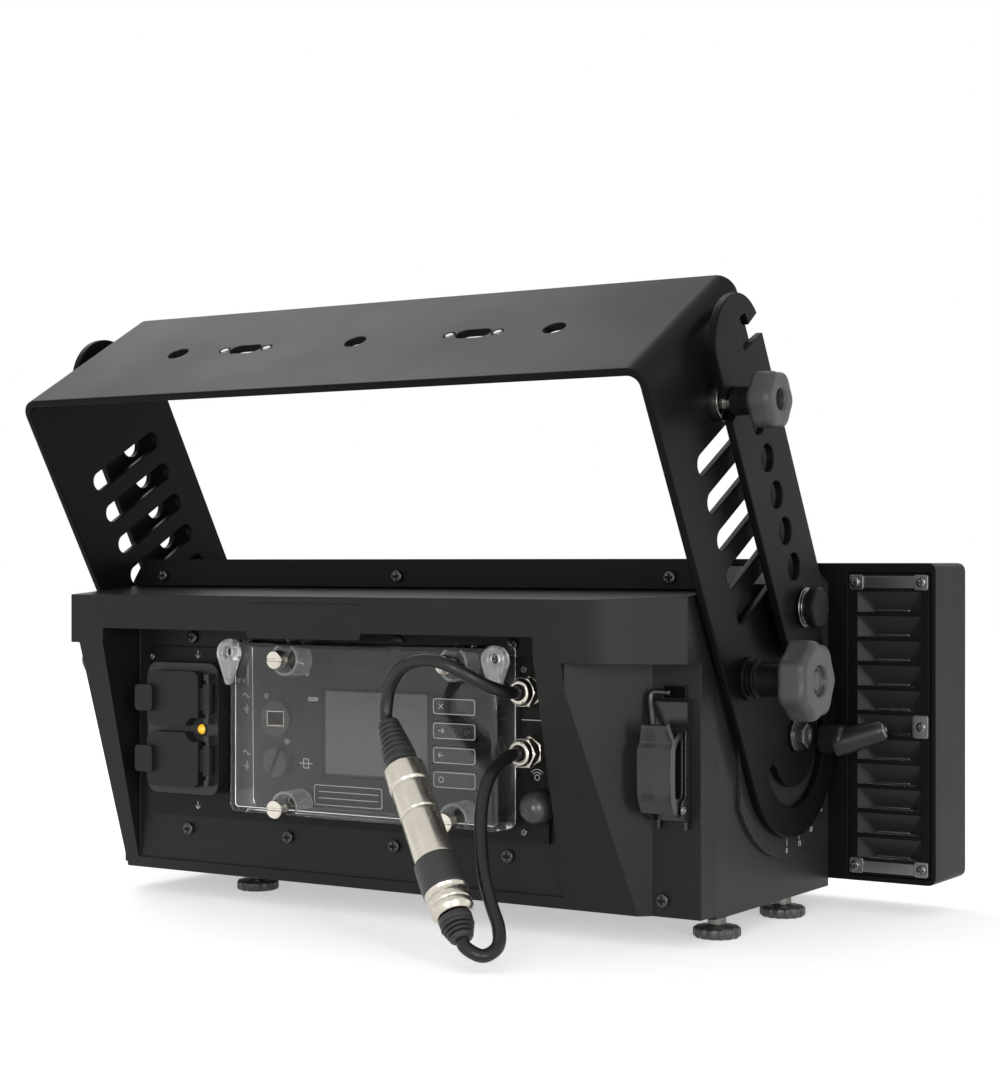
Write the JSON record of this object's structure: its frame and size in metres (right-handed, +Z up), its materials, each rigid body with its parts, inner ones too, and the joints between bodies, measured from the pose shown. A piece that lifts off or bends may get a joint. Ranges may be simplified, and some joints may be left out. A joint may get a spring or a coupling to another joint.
{
  "type": "strobe light",
  "caption": "Wide box-shaped stage strobe with a leaning yoke, hook links at its sides, a recessed connection panel under a clear cover, louvred grilles and levelling feet.",
  "frame": {"origin": "centre of the standing footprint, on the surface under the feet", "axes": "+X along the wide lamp head, +Y the way the light leaves, +Z up"},
  "size_m": [0.482, 0.2951, 0.3182],
  "materials": {
    "black_coat": "fine satin powder coat",
    "cast_black": "fine grained moulding",
    "panel_black": "satin printed panel",
    "black_rubber": "matt",
    "black_plastic": "matt",
    "knob_plastic": "grained",
    "nickel": "satin nickel plate",
    "dark_steel": "blackened steel",
    "clear_plastic": "clear polycarbonate",
    "screen_grey": "display glass, off",
    "amber_lens": "lamp lens",
    "front_glass": "clear front window",
    "white_board": "matt board"
  },
  "bodies": {
    "lamp": {"aerial_cap": "black_rubber", "clear_cover": "clear_plastic", "connection_panel": "panel_black", "connector_boot_lower": "black_rubber", "connector_boot_upper": "black_rubber", "connector_female": "nickel", "connector_male": "nickel", "cord_gland_lower": "nickel", "cord_gland_upper": "nickel", "cord_lower": "black_rubber", "cord_upper": "black_rubber", "emitter_board": "white_board", "front_window": "front_glass", "head_housing": "black_coat", "latch_base": "black_plastic", "main_chassis": "black_coat", "mains_block": "black_plastic", "mains_input_socket": "black_plastic", "mains_lamp": "amber_lens", "mains_output_socket": "black_plastic", "network_socket": "dark_steel", "pivot_bolt_left": "dark_steel", "pivot_bolt_right": "dark_steel", "rear_grille_left": "black_coat", "rear_grille_right": "black_coat", "rear_hood": "cast_black", "reflector_grid": "nickel", "scale_plate_left": "black_coat", "scale_plate_right": "black_coat", "screen": "screen_grey", "top_lid": "black_coat"},
    "yoke": {"yoke_bracket": "black_coat", "link_stud_left": "dark_steel", "link_stud_right": "dark_steel"},
    "link_plate_left_part": {"link_plate_left": "black_coat"},
    "link_plate_right_part": {"link_plate_right": "black_coat"},
    "link_knob_left_part": {"link_knob_left": "knob_plastic"},
    "link_knob_right_part": {"link_knob_right": "knob_plastic"},
    "lock_knob_left_part": {"lock_knob_left": "knob_plastic"},
    "lock_knob_right_part": {"lock_knob_right": "knob_plastic"},
    "clamp_lever_left_part": {"clamp_lever_left": "black_plastic"},
    "clamp_lever_right_part": {"clamp_lever_right": "black_plastic"},
    "foot_rear_left_part": {"foot_rear_left": "black_rubber"},
    "foot_rear_right_part": {"foot_rear_right": "black_rubber"},
    "foot_front_left_part": {"foot_front_left": "black_rubber"},
    "foot_front_right_part": {"foot_front_right": "black_rubber"},
    "mains_input_flap_part": {"mains_input_flap": "black_rubber"},
    "mains_output_flap_part": {"mains_output_flap": "black_rubber"},
    "cover_screw_lower_left_part": {"cover_screw_lower_left": "nickel"},
    "cover_screw_lower_right_part": {"cover_screw_lower_right": "nickel"},
    "cover_screw_upper_left_part": {"cover_screw_upper_left": "nickel"},
    "cover_screw_upper_right_part": {"cover_screw_upper_right": "nickel"},
    "fuse_cap_part": {"fuse_cap": "black_plastic"},
    "key_escape_part": {"key_escape": "panel_black"},
    "key_next_part": {"key_next": "panel_black"},
    "key_previous_part": {"key_previous": "panel_black"},
    "key_enter_part": {"key_enter": "panel_black"},
    "latch_lever_part": {"latch_lever": "black_plastic"},
    "latch_bail_part": {"latch_bail": "dark_steel"}
  },
  "joints": [
    {"name": "yoke_tilt", "type": "hinge", "parent": "lamp", "child": "yoke", "pos_m": [0, 0.0299, 0.095], "axis": [1, 0, 0], "range_deg": [-30, 60]},
    {"name": "link_right_swing", "type": "hinge", "parent": "yoke", "child": "link_plate_right_part", "pos_m": [0.1975, 0.01719, 0.15902], "axis": [-1, 0, 0], "range_deg": [0, 17]},
    {"name": "link_knob_right_turn", "type": "hinge", "parent": "yoke", "child": "link_knob_right_part", "pos_m": [0.21, -0.0595, 0.25585], "axis": [1, 0, 0], "range_deg": [-180, 180]},
    {"name": "lock_knob_right_turn", "type": "hinge", "parent": "yoke", "child": "lock_knob_right_part", "pos_m": [0.21, -0.0243, 0.12548], "axis": [1, 0, 0], "range_deg": [-180, 180]},
    {"name": "clamp_lever_right_turn", "type": "hinge", "parent": "lamp", "child": "clamp_lever_right_part", "pos_m": [0.205, 0.06067, 0.09122], "axis": [1, 0, 0], "range_deg": [-90, 90]},
    {"name": "link_left_swing", "type": "hinge", "parent": "yoke", "child": "link_plate_left_part", "pos_m": [-0.1975, 0.01719, 0.15902], "axis": [-1, 0, 0], "range_deg": [0, 17]},
    {"name": "link_knob_left_turn", "type": "hinge", "parent": "yoke", "child": "link_knob_left_part", "pos_m": [-0.21, -0.0595, 0.25585], "axis": [-1, 0, 0], "range_deg": [-180, 180]},
    {"name": "lock_knob_left_turn", "type": "hinge", "parent": "yoke", "child": "lock_knob_left_part", "pos_m": [-0.21, -0.0243, 0.12548], "axis": [-1, 0, 0], "range_deg": [-180, 180]},
    {"name": "clamp_lever_left_turn", "type": "hinge", "parent": "lamp", "child": "clamp_lever_left_part", "pos_m": [-0.205, 0.06067, 0.09122], "axis": [-1, 0, 0], "range_deg": [-90, 90]},
    {"name": "foot_rear_left_turn", "type": "hinge", "parent": "lamp", "child": "foot_rear_left_part", "pos_m": [-0.112, -0.0231, 0.006], "axis": [0, 0, 1], "range_deg": [-180, 180]},
    {"name": "foot_front_left_turn", "type": "hinge", "parent": "lamp", "child": "foot_front_left_part", "pos_m": [-0.112, 0.0509, 0.006], "axis": [0, 0, 1], "range_deg": [-180, 180]},
    {"name": "foot_rear_right_turn", "type": "hinge", "parent": "lamp", "child": "foot_rear_right_part", "pos_m": [0.172, -0.0231, 0.006], "axis": [0, 0, 1], "range_deg": [-180, 180]},
    {"name": "foot_front_right_turn", "type": "hinge", "parent": "lamp", "child": "foot_front_right_part", "pos_m": [0.172, 0.0509, 0.006], "axis": [0, 0, 1], "range_deg": [-180, 180]},
    {"name": "mains_output_flap_open", "type": "hinge", "parent": "lamp", "child": "mains_output_flap_part", "pos_m": [-0.0985, -0.0816, 0.0763], "axis": [0, 0, 1], "range_deg": [0, 110]},
    {"name": "mains_input_flap_open", "type": "hinge", "parent": "lamp", "child": "mains_input_flap_part", "pos_m": [-0.0985, -0.0816, 0.1089], "axis": [0, 0, 1], "range_deg": [0, 110]},
    {"name": "cover_screw_lower_left_turn", "type": "hinge", "parent": "lamp", "child": "cover_screw_lower_left_part", "pos_m": [-0.04543, -0.0901, 0.055], "axis": [0, -1, 0], "range_deg": [-180, 180]},
    {"name": "cover_screw_upper_left_turn", "type": "hinge", "parent": "lamp", "child": "cover_screw_upper_left_part", "pos_m": [-0.04543, -0.0901, 0.1314], "axis": [0, -1, 0], "range_deg": [-180, 180]},
    {"name": "cover_screw_lower_right_turn", "type": "hinge", "parent": "lamp", "child": "cover_screw_lower_right_part", "pos_m": [0.05895, -0.0901, 0.055], "axis": [0, -1, 0], "range_deg": [-180, 180]},
    {"name": "cover_screw_upper_right_turn", "type": "hinge", "parent": "lamp", "child": "cover_screw_upper_right_part", "pos_m": [0.05895, -0.0901, 0.1314], "axis": [0, -1, 0], "range_deg": [-180, 180]},
    {"name": "fuse_cap_turn", "type": "hinge", "parent": "lamp", "child": "fuse_cap_part", "pos_m": [-0.0618, -0.0661, 0.0762], "axis": [0, -1, 0], "range_deg": [-45, 45]},
    {"name": "key_escape_press", "type": "slide", "parent": "lamp", "child": "key_escape_part", "axis": [0, 1, 0], "range_m": [0, 0.0007], "stiffness_N_per_m": 900},
    {"name": "key_next_press", "type": "slide", "parent": "lamp", "child": "key_next_part", "axis": [0, 1, 0], "range_m": [0, 0.0007], "stiffness_N_per_m": 900},
    {"name": "key_previous_press", "type": "slide", "parent": "lamp", "child": "key_previous_part", "axis": [0, 1, 0], "range_m": [0, 0.0007], "stiffness_N_per_m": 900},
    {"name": "key_enter_press", "type": "slide", "parent": "lamp", "child": "key_enter_part", "axis": [0, 1, 0], "range_m": [0, 0.0007], "stiffness_N_per_m": 900},
    {"name": "latch_lever_pull", "type": "hinge", "parent": "lamp", "child": "latch_lever_part", "pos_m": [0.17, -0.0686, 0.066], "axis": [1, 0, 0], "range_deg": [0, 80]},
    {"name": "latch_bail_swing", "type": "hinge", "parent": "latch_lever_part", "child": "latch_bail_part", "pos_m": [0.17, -0.0711, 0.088], "axis": [1, 0, 0], "range_deg": [0, 25]}
  ]
}
